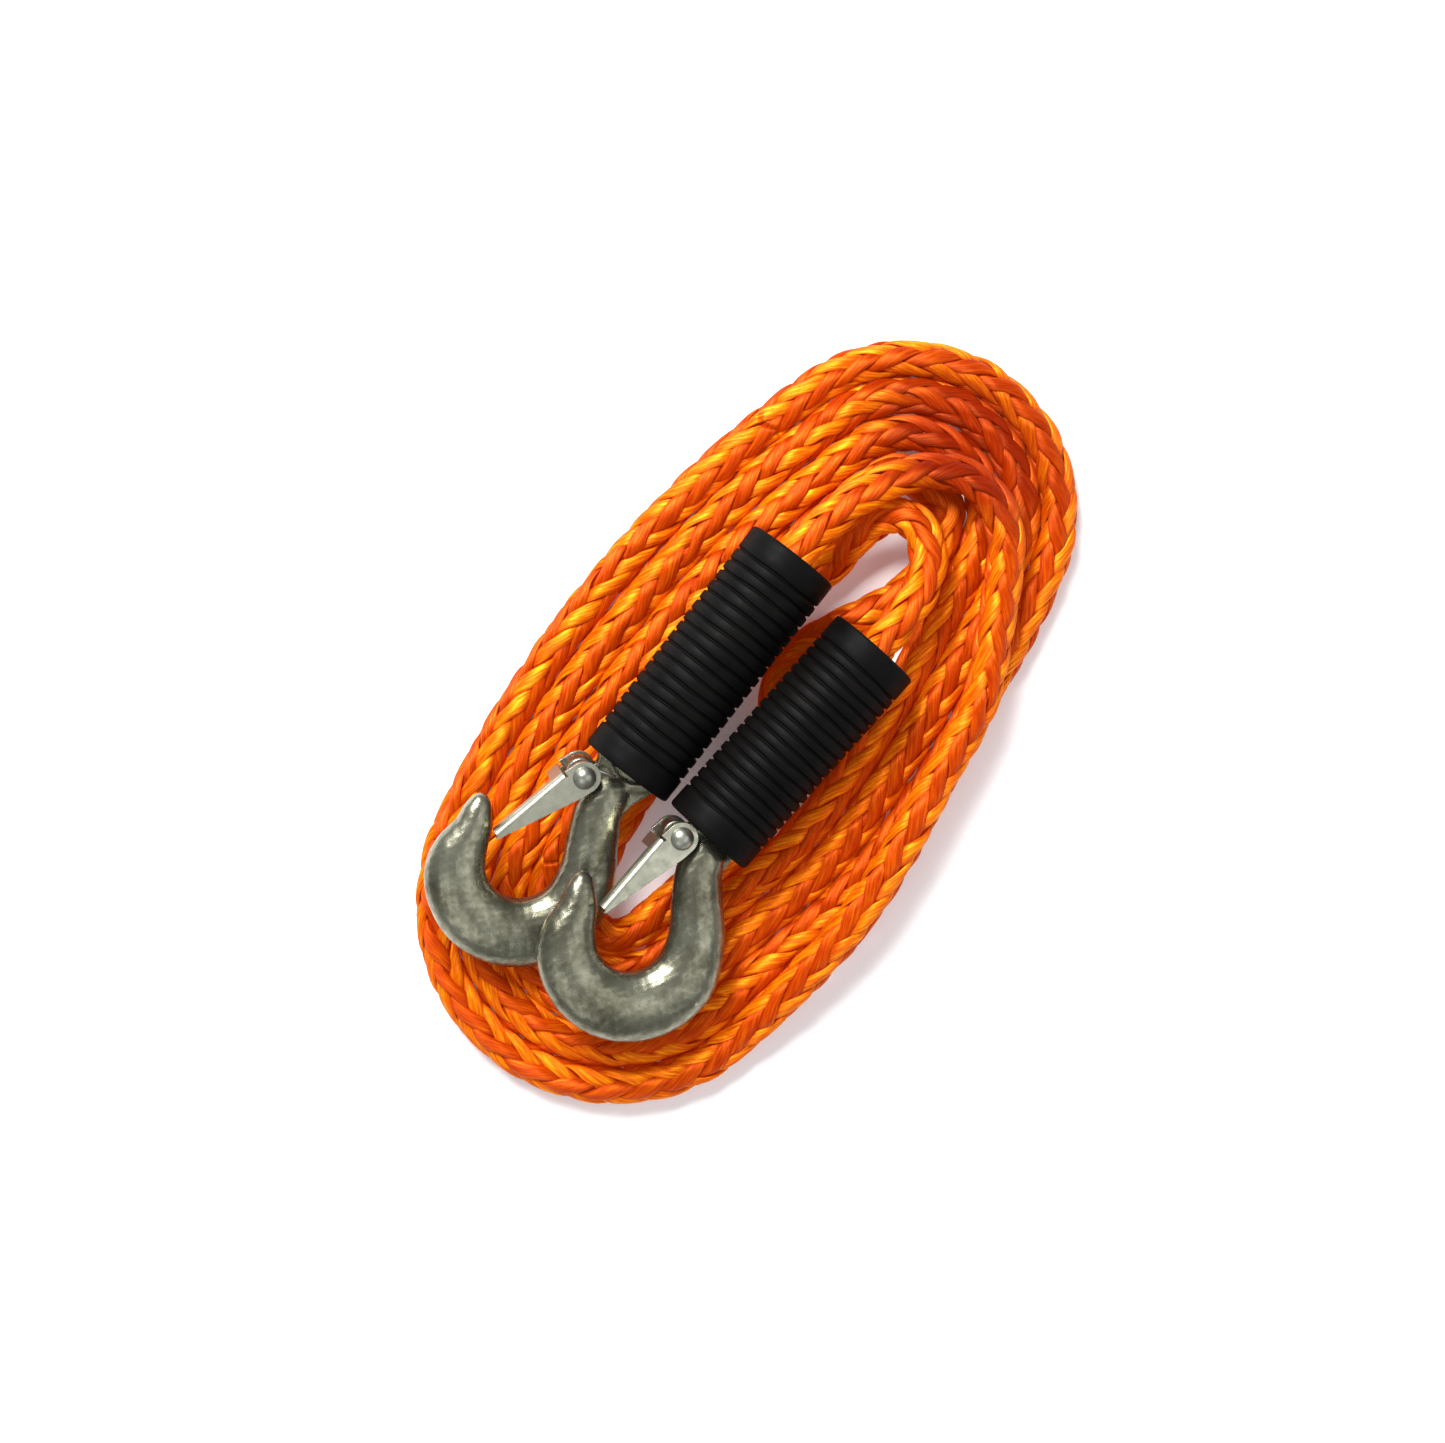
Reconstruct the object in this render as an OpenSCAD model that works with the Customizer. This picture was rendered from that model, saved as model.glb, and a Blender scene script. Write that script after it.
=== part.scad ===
// Vehicle tow rope: a braided rope wound into a flat oval hank, with a forged safety hook at each end.
// Both hook eyes and the crimped rope eyes behind them sit inside ribbed rubber sleeves.
// Origin: centre of the hank on the ground. +Y points away from the hooks, +X to the right, +Z up.

/* [Hank] */
// Length of the hank from the hook end to the far bend
hank_len = 286; // [270:1:310]
// Width of the hank at its widest
hank_w = 146; // [140:1:160]
// Outer radius of the narrow far bend
head_r = 57; // [54:1:60]
// Outer radius of the wide bend under the hooks
foot_r = 66.5; // [64:0.5:70]
// How far the right side is pressed in at its waist
waist_dip = 5; // [0:0.5:6]
// How far the innermost turn wanders into the hollow
inner_bulge = 24; // [0:1:24]

/* [Rope] */
// Diameter of the rope
rope_d = 12; // [11:0.1:12.1]
// Distance between the middles of neighbouring turns
rope_pitch = 12.3; // [12.2:0.05:12.3]
// Diameter of the rope where it is squeezed through a hook eye
eye_rope_d = 9.2; // [8:0.1:9.6]
// Diameter of each rope leg inside its ferrule
crimp_rope_d = 10.8; // [10:0.1:11]

/* [Sleeves] */
// Length of the first sleeve
sleeve_len = 89; // [80:1:94]
// Length of the second sleeve, bunched up a little on its rope
bunched_len = 82; // [78:1:88]
// Outside diameter over the ribs
sleeve_d = 32.4; // [31.5:0.1:32.6]
// Bore of a sleeve
sleeve_bore = 28; // [27.4:0.1:28.4]
// Number of ribs along a sleeve
rib_count = 17; // [8:1:20]
// Depth of the grooves between the ribs
rib_depth = 1; // [0.4:0.1:1.4]

/* [Hooks] */
// Outside diameter of the hook eye
eye_d = 26; // [24:0.5:26.5]
// Hole of the hook eye
eye_hole_d = 14.6; // [13:0.1:15]
// Thickness of the hook eye
eye_thick = 6; // [5:0.5:6]
// Radius of the round seat in the bowl of the hook
seat_r = 12; // [11.8:0.05:12.3]
// Width of the round seat
seat_w = 4; // [3:0.5:5]
// Tilt of both hooks and eyes about the load line
hook_roll = 17; // [14:0.5:18]

/* [Latches] */
// Thickness of the latch sheet
latch_sheet = 1.5; // [1:0.1:1.6]
// Inside width of the latch channel
latch_inside = 13; // [12.6:0.1:13.2]
// Length of the latch from its rivet to its tip
latch_len = 33.5; // [32:0.5:35]
// Diameter of the rivet shank
rivet_d = 5; // [4.6:0.1:5.2]
// Diameter of the rivet head
rivet_head_d = 7.6; // [7:0.1:8.4]
// Wire of the latch spring
spring_wire = 0.9; // [0.7:0.1:1]

/* [Hidden] */

$fn = 64;
rope_r = rope_d / 2;
rope_sides = 10;
layer_z = rope_r + rope_pitch;               // height of the rope that lies on top of the coil
set_z = rope_d + 0.3 + sleeve_d / 2;         // height of the sleeve axes

// The two hook ends: middle of the sleeve mouth, heading of the sleeve, depth of the hook eye inside
// the mouth, swing of the hook in its eye, its droop, and the length of the sleeve.
ends = [
    [[-23, -38.5, set_z], -1.3, 6.5, 1.3, 3.9, sleeve_len],
    [[10.7, -39.5, set_z], -5.2, 11, 12.3, -4.2, bunched_len],
];
loop_gap = 10;                               // from the eye's middle to the bar that the rope wraps
loop_r = 8.7;                                // bend of the rope around that bar
leg_z = crimp_rope_d / 2 + 0.3;              // height of each rope leg in the ferrule
ferrule_start = 18;
ferrule_len = 22;
ferrule_wall = 1.4;
ferrule_gap = 0.1;

// ---- small vector helpers ----
function unit(v) = v / norm(v);
function smooth(t) = let (c = min(1, max(0, t))) c * c * (3 - 2 * c);
function bump(t) = pow(cos(90 * min(1, max(-1, t))), 2);
function turn_z(p, a) = [p[0] * cos(a) - p[1] * sin(a), p[0] * sin(a) + p[1] * cos(a), p[2]];
function turn_y(p, a) = [p[0] * cos(a) + p[2] * sin(a), p[1], p[2] * cos(a) - p[0] * sin(a)];
function flat_concat(lists) = [for (l = lists) for (p = l) p];

// A smooth curve through waypoints of any dimension, each span cut into steps.
function spline_at(a, b, c, d, t) =
    0.5 * (2 * b + (c - a) * t + (2 * a - 5 * b + 4 * c - d) * t * t + (3 * b - a - 3 * c + d) * t * t * t);
function spline(w, steps) = let (n = len(w) - 1) concat(
    [for (i = [0:n - 1], j = [0:steps - 1])
        spline_at(w[max(0, i - 1)], w[i], w[i + 1], w[min(n, i + 2)], j / steps)],
    [w[n]]);

// A closed solid through rings of points, each ring listed the same way round.
module skin(rings) {
    n = len(rings[0]);
    last = (len(rings) - 1) * n;
    sides = [for (i = [0:len(rings) - 2], j = [0:n - 1])
        let (a = i * n + j, b = i * n + (j + 1) % n) each [[a, a + n, b], [b, a + n, b + n]]];
    caps = [[for (j = [0:n - 1]) j], [for (j = [n - 1:-1:0]) last + j]];
    polyhedron(points = flat_concat(rings), faces = concat(sides, caps), convexity = 10);
}

// Round tube along a path of [x, y, z, radius] points.
module tube(path, sides) {
    n = len(path) - 1;
    at = [for (p = path) [p[0], p[1], p[2]]];
    along = [for (i = [0:n]) unit(at[min(n, i + 1)] - at[max(0, i - 1)])];
    across = [for (i = 0, v = unit(cross(along[0], [0.3, 0.2, 1])); i <= n;
        i = i + 1, v = unit(v - (v * along[min(i, n)]) * along[min(i, n)])) v];
    skin([for (i = [0:n]) let (u = across[i], w = cross(along[i], u))
        [for (j = [0:sides - 1]) let (a = 360 * j / sides)
            at[i] + path[i][3] * (cos(a) * u - sin(a) * w)]]);
}

// ---- the hank ----
// Its outline is an egg of four arcs. head_y and foot_y are the middles of the two end arcs, and
// side_c and side_y place the middles of the long side arcs so that all four meet smoothly.
head_y = hank_len / 2 - head_r;
foot_y = foot_r - hank_len / 2;
side_grow = hank_w / 2 - foot_r;
side_diff = hank_w / 2 - head_r;
// side_y solves (side_y - foot_y)^2 = 2 c side_grow + side_grow^2 together with the same for the head
egg_k = side_diff / side_grow;
egg_h = head_y - foot_y;
egg_q = (egg_k - 1);
egg_c0 = egg_h * egg_h + egg_k * side_grow * side_grow - side_diff * side_diff;
egg_u = (sqrt(egg_h * egg_h + egg_q * egg_c0) - egg_h) / egg_q;
side_y = foot_y + egg_u;
side_c = (egg_u * egg_u - side_grow * side_grow) / (2 * side_grow);
side_r = side_c + hank_w / 2;
head_turn = atan2(head_y - side_y, side_c);
foot_turn = atan2(foot_y - side_y, side_c);

// A point on the egg where its outward normal points at angle a, moved inward by off.
function egg(a, off) = let (
    n = ((a % 360) + 540) % 360 - 180,
    m = abs(n) > 90 ? (180 - abs(n)) * sign(n) : n,
    side = abs(n) > 90 ? -1 : 1,
    c = m > head_turn ? [0, head_y, head_r] : m < foot_turn ? [0, foot_y, foot_r]
        : [-side * side_c, side_y, side_r])
    [c[0] + (c[2] - off) * cos(n), c[1] + (c[2] - off) * sin(n)];

// The turns are wound clockwise from the outside in. Between these two directions every turn steps
// inward by one pitch, so the coil has one rope more across the foot than along its right side.
step_from = 8;
step_to = -12;
step_turn = step_from - step_to;
function turned(w) = step_to - w;
function stepped(left) = rope_r + rope_pitch * (1 - smooth(left / step_turn));
function inset(w) = let (lap = floor(w / 360)) rope_pitch * lap + stepped(360 * (lap + 1) - w);
waist_at = 7.5;
waist_half = 12;
function dip(a) = waist_dip * bump(((a - waist_at + 2340) % 360 - 180) / waist_half);
// The last turn but one wanders into the hollow on its way down the right side.
wander_at = 4 * 360 + step_to - 6.5;
function wander(w) = inner_bulge * bump((w - wander_at) / 9);
// At the far bend the innermost turn hangs a little loose.
loose = 4;
loose_at = 4 * 360 + step_to - 90;
function slack(w) = loose * bump((w - loose_at) / 60);
function coil(w) = let (a = turned(w), p = egg(a, inset(w) + dip(a) + wander(w) + slack(w)))
    [p[0], p[1], rope_r, rope_r];

// The start of the rope lies on top of the outermost turn, and rolls down beside it where it steps.
function top_turn(a) = let (
    beside = stepped(a - step_to) - rope_r,
    p = egg(a, rope_r + dip(a)))
    [p[0], p[1], rope_r + sqrt(max(0, rope_pitch * rope_pitch - beside * beside)), rope_r];

// Steps of about one rope radius: long flat sides need small turns, the end bends larger ones.
function coil_angles(from, to) = [for (a = from; a < to;
    a = a + (abs((turned(a) + 3960) % 180 - 90) > 72 ? 1.7 : 6)) a];

// From the eye of hook end e, along the sleeve and out of its top; points run away from the hook.
function in_set(e, p) = e[0] + turn_z(turn_y(p, hook_roll), e[1]);
function place(e, list) = [for (p = list) let (q = in_set(e, p)) [q[0], q[1], q[2], p[3]]];
function eye_path(e) = let (
    yc = e[2] + loop_gap,
    f0 = yc + ferrule_start,
    f1 = f0 + ferrule_len,
    er = eye_rope_d / 2,
    cr = crimp_rope_d / 2)
    place(e, concat(
        [for (y = [f1 + 2, f1, f1 - 11, f0, f0 - 3]) [0, y, -leg_z, cr]],
        [[0, yc + 9, -loop_r + 0.9, er + 0.2]],
        [for (a = [-90:-22.5:-270]) [0, yc + loop_r * cos(a), loop_r * sin(a), er]],
        [[0, yc + 9, loop_r - 0.9, er + 0.2]],
        [for (y = [f0 - 3, f0, f0 + 11, f1, f1 + 4]) [0, y, leg_z, cr]],
        [[0, f1 + 11, leg_z - 1.5, cr + 0.3], [0, f1 + 19, 1.6, rope_r], [0, f1 + 26, 0.2, rope_r]]));

// From the top of each sleeve to the coil: the first lead crosses over the far bend to the outside of
// the right side, and the second rises out of the innermost turn.
lead_1_way = [[-20.4, 52, set_z], [-19.4, 62, set_z - 0.3], [-15.5, 78, 26.6], [-7, 94, 22.6],
    [5, 104.3, 19.4], [18, 105.6, layer_z], [30, 99, layer_z], [39.5, 85, layer_z], [48, 68, layer_z],
    [56, 51, layer_z]];
lead_2_way = [[-11.1, 51, rope_r + 0.2], [-9.5, 58, 8], [-9.1, 64.5, 10.8], [-8, 72, 13.5], [-5.3, 79, 16],
    [0.5, 83.5, 17.8], [8, 82.8, 19.3], [14, 78, 21], [17.8, 71, 23.2], [19.4, 63, 25.8], [19.4, 56, 27.7]];
function with_r(list) = [for (p = list) [p[0], p[1], p[2], rope_r]];
function reversed(list) = [for (i = [len(list) - 1:-1:0]) list[i]];

top_from = step_from - 1;
top_steps = 14;
lead_2_from = 4 * 360 + 178;
rope_path = concat(
    eye_path(ends[0]),
    spline(concat(with_r(lead_1_way), [top_turn(top_from)]), 2),
    [for (i = [1:top_steps - 1]) top_turn(top_from + (step_to - top_from) * i / top_steps)],
    [for (w = coil_angles(0, lead_2_from)) coil(w)],
    spline(concat([coil(lead_2_from)], with_r(lead_2_way)), 2),
    reversed(eye_path(ends[1])));

module rope() {
    color([0.82, 0.3, 0.03]) tube(rope_path, rope_sides);
}

// ---- hook ends ----
module in_end(e) {
    translate(e[0]) rotate([0, 0, e[1]]) rotate([0, hook_roll, 0]) children();
}

module in_hook(e) {
    in_end(e) translate([0, e[2], 0]) rotate([e[4], 0, e[3]]) children();
}

// Ribbed tube; its mouth is at the local origin and it runs along +Y.
sleeve_collar = 9;
module sleeve(length) {
    r = sleeve_d / 2;
    edge = 1;
    rib_pitch = (length - 2 * sleeve_collar) / rib_count;
    groove_w = rib_pitch * 0.36;
    outside = concat(
        [[r - edge, 0], [r, edge]],
        [for (i = [0:rib_count]) let (y = sleeve_collar + i * rib_pitch)
            each [[r, y - groove_w / 2], [r - rib_depth, y - groove_w / 6],
                  [r - rib_depth, y + groove_w / 6], [r, y + groove_w / 2]]],
        [[r, length - edge], [r - edge, length]]);
    color([0.09, 0.09, 0.09]) rotate([-90, 0, 0]) rotate_extrude()
        polygon(concat([[sleeve_bore / 2, 0]], outside, [[sleeve_bore / 2, length]]));
}

// Oval crimp around the two rope legs; it runs along +Y from the local origin.
module stadium(r, half) {
    for (s = [-1, 1]) translate([0, s * half]) circle(r);
    translate([-r, -half]) square([2 * r, 2 * half]);
}
module ferrule() {
    bore_r = crimp_rope_d / 2 + ferrule_gap;
    color([0.7, 0.71, 0.72]) rotate([-90, 0, 0]) linear_extrude(ferrule_len) difference() {
        stadium(bore_r + ferrule_wall, leg_z);
        stadium(bore_r, leg_z);
    }
}

// Forged hook. Its eye is at the local origin, the load pulls along -Y and the tip is on the -X side.
bowl = [-8.9, -51];
seat_skin = seat_r - 0.45;
function bowl_station(a, outer, thick) =
    [bowl[0] + (seat_skin + outer) / 2 * cos(a), bowl[1] + (seat_skin + outer) / 2 * sin(a),
     (outer - seat_skin) / 2, thick];
// Each station is the middle of the section, its half width and its half thickness.
hook_stations = [
    [-0.5, -10, 6.4, 3.4],
    [-0.3, -15.5, 7.2, 5.6],
    [1.2, -23.4, 7.9, 6.4],
    [6.1, -32.8, 8.7, 6.9],
    [11, -41.8, 9.6, 7.3],
    bowl_station(-6, 33.8, 7.6),
    bowl_station(-28, 34.8, 7.7),
    bowl_station(-50, 35.1, 7.7),
    bowl_station(-72, 34.9, 7.7),
    bowl_station(-94, 34.2, 7.6),
    bowl_station(-116, 33, 7.4),
    bowl_station(-137, 31.9, 7.1),
    bowl_station(-156, 29.8, 6.4),
    [bowl[0] - 20.6, bowl[1] + 0.5, 6.4, 5.4],
    [bowl[0] - 22.6, bowl[1] + 6, 4.9, 4.4],
    [bowl[0] - 23.8, bowl[1] + 10, 3.2, 3],
    [bowl[0] - 24.2, bowl[1] + 11.8, 1.3, 1.2],
];
// Half of the flare that joins the neck to the eye, from the eye down.
flare = [[11.6, -5.4], [9.6, -10], [8, -14], [7.6, -19]];
flare_thick = 5;
hook_sides = 20;
module hook_shank() {
    path = spline(hook_stations, 3);
    n = len(path) - 1;
    skin([for (i = [0:n])
        let (a = path[max(0, i - 1)], b = path[min(n, i + 1)], t = unit([b[0] - a[0], b[1] - a[1]]))
        [for (j = [0:hook_sides - 1]) let (q = 360 * j / hook_sides)
            [path[i][0] - t[1] * path[i][2] * cos(q), path[i][1] + t[0] * path[i][2] * cos(q),
             path[i][3] * sin(q)]]]);
}
rivet_at = [-12, -15];
lug_r = 5;
lug_low = -6;
lug_high = 1.3;
module hook() {
    eye_bar = (eye_d - eye_hole_d) / 4;
    color([0.62, 0.62, 0.56]) difference() {
        union() {
            hook_shank();
            rotate_extrude() translate([eye_hole_d / 2 + eye_bar, 0]) eye_section(eye_bar);
            translate([0, 0, -flare_thick / 2]) linear_extrude(flare_thick)
                polygon(concat(flare, [for (i = [len(flare) - 1:-1:0]) [-flare[i][0], flare[i][1]]]));
            translate([0, 0, lug_low]) linear_extrude(lug_high - lug_low) {
                translate(rivet_at) circle(lug_r);
                polygon([rivet_at + [0, lug_r], rivet_at + [0, -lug_r], [0, -21], [0, -11]]);
            }
        }
        translate([0, 0, -eye_thick]) cylinder(h = 2 * eye_thick, d = eye_hole_d);
        translate([bowl[0], bowl[1], -seat_w / 2]) cylinder(h = seat_w, r = seat_r);
        translate([rivet_at[0], rivet_at[1], -10]) cylinder(h = 20, d = rivet_d + 0.1);
    }
}
// Barrel-shaped section of the eye, a little thicker than it is wide.
module eye_section(bar) {
    corner = bar * 0.6;
    polygon([
        [-bar - 0.2, -eye_thick / 2 + corner * 0.4], [-bar + corner, -eye_thick / 2],
        [bar - corner, -eye_thick / 2], [bar, -eye_thick / 2 + corner],
        [bar, eye_thick / 2 - corner], [bar - corner, eye_thick / 2],
        [-bar + corner, eye_thick / 2], [-bar - 0.2, eye_thick / 2 - corner * 0.4],
    ]);
}

// Latch: a folded sheet. Its rivet is at the local origin and it points along -Y. The upper flange runs
// the whole length with a narrow lip; the lower flange is only an ear around the rivet.
latch_turn = -20;
latch_head_r = 5.3;
latch_tip_r = 1.4;
latch_shoulder = 3.5;                        // the sides stay parallel this far below the rivet
latch_slope = asin((latch_head_r - latch_tip_r) / (latch_len - latch_shoulder));
module at_rivet() {
    translate([rivet_at[0], rivet_at[1], 0]) rotate([0, 0, latch_turn]) children();
}
function arc(r, centre, from, to, n) =
    [for (i = [0:n]) let (a = from + (to - from) * i / n) centre + [r * cos(a), r * sin(a)]];
module flange_shape() {
    shoulder = [0, -latch_shoulder];
    polygon(concat(arc(latch_head_r, [0, 0], 0, 180, 24),
                   arc(latch_head_r, shoulder, 180, 180 + latch_slope, 2),
                   arc(latch_tip_r, [0, -latch_len], 180 + latch_slope, 360 - latch_slope, 8),
                   arc(latch_head_r, shoulder, -latch_slope, 0, 2)));
}
latch_spine_from = 4.5;
latch_ear_end = 9;
latch_lip = 4.5;
// What the fold leaves open between the two flanges: all but the spine along the tip side.
module latch_pocket() {
    far = latch_len + latch_head_r;
    inside = latch_sheet - latch_head_r;
    along = (latch_len - latch_shoulder) * cos(latch_slope);
    translate([0, -latch_shoulder]) rotate([0, 0, latch_slope]) polygon([
        [-far, far], [-far, latch_shoulder - latch_spine_from], [inside, latch_shoulder - latch_spine_from],
        [inside, 0.5 - along], [-far, 0.5 - along], [-far, -2 * far], [far, -2 * far], [far, far]]);
}
module latch() {
    half = latch_inside / 2;
    outer = half + latch_sheet;
    color([0.72, 0.73, 0.68]) at_rivet() difference() {
        translate([0, 0, -outer]) linear_extrude(2 * outer) flange_shape();
        translate([0, 0, -half]) linear_extrude(latch_inside) latch_pocket();
        translate([-latch_len, -latch_ear_end - latch_len, -2 * outer])
            cube([2 * latch_len, latch_len, 3 * outer - latch_lip]);
        translate([0, 0, -half - 5]) cylinder(h = latch_inside + 10, d = rivet_d + 0.16);
    }
}

// Rivet with a domed head on the upper side and a flat closing head below.
module latch_rivet() {
    seat = latch_inside / 2 + latch_sheet + 0.1;
    dome_h = 2.4;
    dome_r = (pow(rivet_head_d / 2, 2) + dome_h * dome_h) / (2 * dome_h);
    color([0.75, 0.75, 0.73]) translate([rivet_at[0], rivet_at[1], 0]) {
        translate([0, 0, -seat - 1]) cylinder(h = 2 * seat + 2, d = rivet_d);
        translate([0, 0, -seat - 1.2]) cylinder(h = 1.2, d = rivet_head_d - 0.6);
        intersection() {
            translate([0, 0, seat + dome_h - dome_r]) sphere(dome_r);
            translate([0, 0, seat]) cylinder(h = dome_h + 1, d = rivet_head_d + 1);
        }
    }
}

// Torsion spring around the rivet: one leg bears on the latch, the other on the hook neck.
spring_turns = 3.3;
spring_r = rivet_d / 2 + spring_wire / 2 + 0.35;
spring_low = lug_high + spring_wire / 2 + 0.15;
module latch_spring() {
    rise = latch_inside / 2 - spring_wire / 2 - 0.15 - spring_low;
    turns = 360 * spring_turns;
    start = 215;
    w = spring_wire / 2;
    coil_points = [for (a = [0:20:turns])
        [spring_r * cos(start - a), spring_r * sin(start - a), spring_low + rise * a / turns, w]];
    first = start + 90;
    last = start - turns - 90;
    low_leg = [for (d = [10, 5]) [spring_r * cos(start) + d * cos(first), spring_r * sin(start) + d * sin(first),
        spring_low, w]];
    high_leg = [for (d = [5, 10]) [spring_r * cos(start - turns) + d * cos(last),
        spring_r * sin(start - turns) + d * sin(last), spring_low + rise, w]];
    color([0.5, 0.5, 0.5]) translate([rivet_at[0], rivet_at[1], 0])
        tube(concat(low_leg, coil_points, high_leg), 8);
}

module ferrule_at(e) {
    in_end(e) translate([0, e[2] + loop_gap + ferrule_start, 0]) ferrule();
}

rope();
in_end(ends[0]) sleeve(ends[0][5]);  // sleeve_1
in_end(ends[1]) sleeve(ends[1][5]);  // sleeve_2
ferrule_at(ends[0]);  // ferrule_1
ferrule_at(ends[1]);  // ferrule_2
in_hook(ends[0]) hook();  // hook_1
in_hook(ends[1]) hook();  // hook_2
in_hook(ends[0]) latch_rivet();  // latch_rivet_1
in_hook(ends[1]) latch_rivet();  // latch_rivet_2
in_hook(ends[0]) latch_spring();  // latch_spring_1
in_hook(ends[1]) latch_spring();  // latch_spring_2
in_hook(ends[0]) latch();  // latch_1
in_hook(ends[1]) latch();  // latch_2
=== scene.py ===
"""A coiled tow rope with a forged safety hook at each end, on a pale floor in soft studio light.

Shape code works in millimetres in the CAD frame, and every object is made in metres.
"""

import math

import bmesh
import bpy
import numpy as np
from mathutils import Matrix, Vector


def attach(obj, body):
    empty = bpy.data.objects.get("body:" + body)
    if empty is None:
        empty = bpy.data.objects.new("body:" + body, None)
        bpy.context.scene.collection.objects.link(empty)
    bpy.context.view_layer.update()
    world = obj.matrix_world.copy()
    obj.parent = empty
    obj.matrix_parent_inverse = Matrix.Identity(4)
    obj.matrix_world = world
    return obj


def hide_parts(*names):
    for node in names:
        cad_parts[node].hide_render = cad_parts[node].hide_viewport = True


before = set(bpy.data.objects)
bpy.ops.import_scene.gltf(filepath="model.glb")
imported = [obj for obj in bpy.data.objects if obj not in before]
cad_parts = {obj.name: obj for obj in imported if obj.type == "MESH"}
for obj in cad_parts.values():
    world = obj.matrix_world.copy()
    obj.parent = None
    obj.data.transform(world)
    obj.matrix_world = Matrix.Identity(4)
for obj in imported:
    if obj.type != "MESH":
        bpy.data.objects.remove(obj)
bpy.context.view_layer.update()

MM = 0.001
SEED = 11


# ---------------------------------------------------------------- small maths
def clamp(t, low, high):
    return min(high, max(low, t))


def smooth(t):
    c = clamp(t, 0.0, 1.0)
    return c * c * (3 - 2 * c)


def bump(t):
    return math.cos(math.radians(90 * clamp(t, -1.0, 1.0))) ** 2


def spline(way, steps):
    """A Catmull-Rom curve through the rows of way, with steps points per span."""
    way = np.asarray(way, float)
    last = len(way) - 1
    out = []
    for i in range(last):
        a, b, c, d = way[max(0, i - 1)], way[i], way[i + 1], way[min(last, i + 2)]
        for j in range(steps):
            t = j / steps
            out.append(
                0.5 * (2 * b + (c - a) * t + (2 * a - 5 * b + 4 * c - d) * t**2
                       + (3 * b - a - 3 * c + d) * t**3)
            )
    out.append(way[last])
    return np.array(out)


def rot(axis, deg):
    return Matrix.Rotation(math.radians(deg), 4, axis)


# ---------------------------------------------------------------- the hank's centre line
HANK_LEN, HANK_W, HEAD_R, FOOT_R = 286, 146, 57, 66.5
WAIST_DIP, WAIST_AT, WAIST_HALF = 5, 7.5, 12
INNER_BULGE = 24
ROPE_R, PITCH = 6, 12.3
EYE_ROPE_R, CRIMP_ROPE_R = 4.6, 5.4
SLEEVE_R, SLEEVE_BORE_R = 16.2, 14
LAYER_Z = ROPE_R + PITCH
SET_Z = 2 * ROPE_R + 0.3 + SLEEVE_R
HOOK_ROLL = 17
# Middle of the sleeve mouth, heading of the sleeve, depth of the hook eye, swing and droop of the hook,
# and length of the sleeve.
ENDS = (
    ((-23, -38.5, SET_Z), -1.3, 6.5, 1.3, 3.9, 89),
    ((10.7, -39.5, SET_Z), -5.2, 11, 12.3, -4.2, 82),
)
LOOP_GAP, LOOP_R, LEG_Z = 10, 8.7, 5.7
FERRULE_START, FERRULE_LEN = 18, 22

HEAD_Y, FOOT_Y = HANK_LEN / 2 - HEAD_R, FOOT_R - HANK_LEN / 2


def egg_arcs():
    """Middle height, middle offset and radius of the long side arcs, and where the end arcs take over."""
    grow, diff = HANK_W / 2 - FOOT_R, HANK_W / 2 - HEAD_R
    ratio, height = diff / grow, HEAD_Y - FOOT_Y
    c0 = height**2 + ratio * grow**2 - diff**2
    up = (math.sqrt(height**2 + (ratio - 1) * c0) - height) / (ratio - 1)
    side_y = FOOT_Y + up
    side_c = (up**2 - grow**2) / (2 * grow)
    head_turn = math.degrees(math.atan2(HEAD_Y - side_y, side_c))
    foot_turn = math.degrees(math.atan2(FOOT_Y - side_y, side_c))
    return side_y, side_c, side_c + HANK_W / 2, head_turn, foot_turn


SIDE_Y, SIDE_C, SIDE_R, HEAD_TURN, FOOT_TURN = egg_arcs()


def egg(a, off):
    """The point of the outline whose outward normal is at angle a, moved inward by off."""
    n = (a + 180) % 360 - 180
    m, side = (n, 1) if abs(n) <= 90 else (math.copysign(180 - abs(n), n), -1)
    if m > HEAD_TURN:
        x, y, r = 0, HEAD_Y, HEAD_R
    elif m < FOOT_TURN:
        x, y, r = 0, FOOT_Y, FOOT_R
    else:
        x, y, r = -side * SIDE_C, SIDE_Y, SIDE_R
    t = math.radians(n)
    return x + (r - off) * math.cos(t), y + (r - off) * math.sin(t)


# Each lap steps in by one pitch between these two angles of the outline, and there the top turn comes down.
STEP_FROM, STEP_TO = 8, -12
FULL_LAPS = 4 * 360
# The innermost turn bulges in beside the waist and hangs loose at the far bend. Middles and half lengths
# are in degrees of winding.
WANDER_AT, WANDER_HALF = FULL_LAPS + STEP_TO - 6.5, 9
LOOSE, LOOSE_AT, LOOSE_HALF = 4, FULL_LAPS + STEP_TO - 90, 60
COIL_END = FULL_LAPS + 178
TOP_FROM = STEP_FROM - 1


def stepped(left):
    return ROPE_R + PITCH * (1 - smooth(left / (STEP_FROM - STEP_TO)))


def dip(a):
    return WAIST_DIP * bump(((a - WAIST_AT + 180) % 360 - 180) / WAIST_HALF)


def coil(w):
    """The point of the ground layer after w degrees of clockwise winding."""
    lap, a = math.floor(w / 360), STEP_TO - w
    inset = PITCH * lap + stepped(360 * (lap + 1) - w)
    wander = INNER_BULGE * bump((w - WANDER_AT) / WANDER_HALF)
    slack = LOOSE * bump((w - LOOSE_AT) / LOOSE_HALF)
    x, y = egg(a, inset + dip(a) + wander + slack)
    return x, y, ROPE_R, ROPE_R


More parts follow.
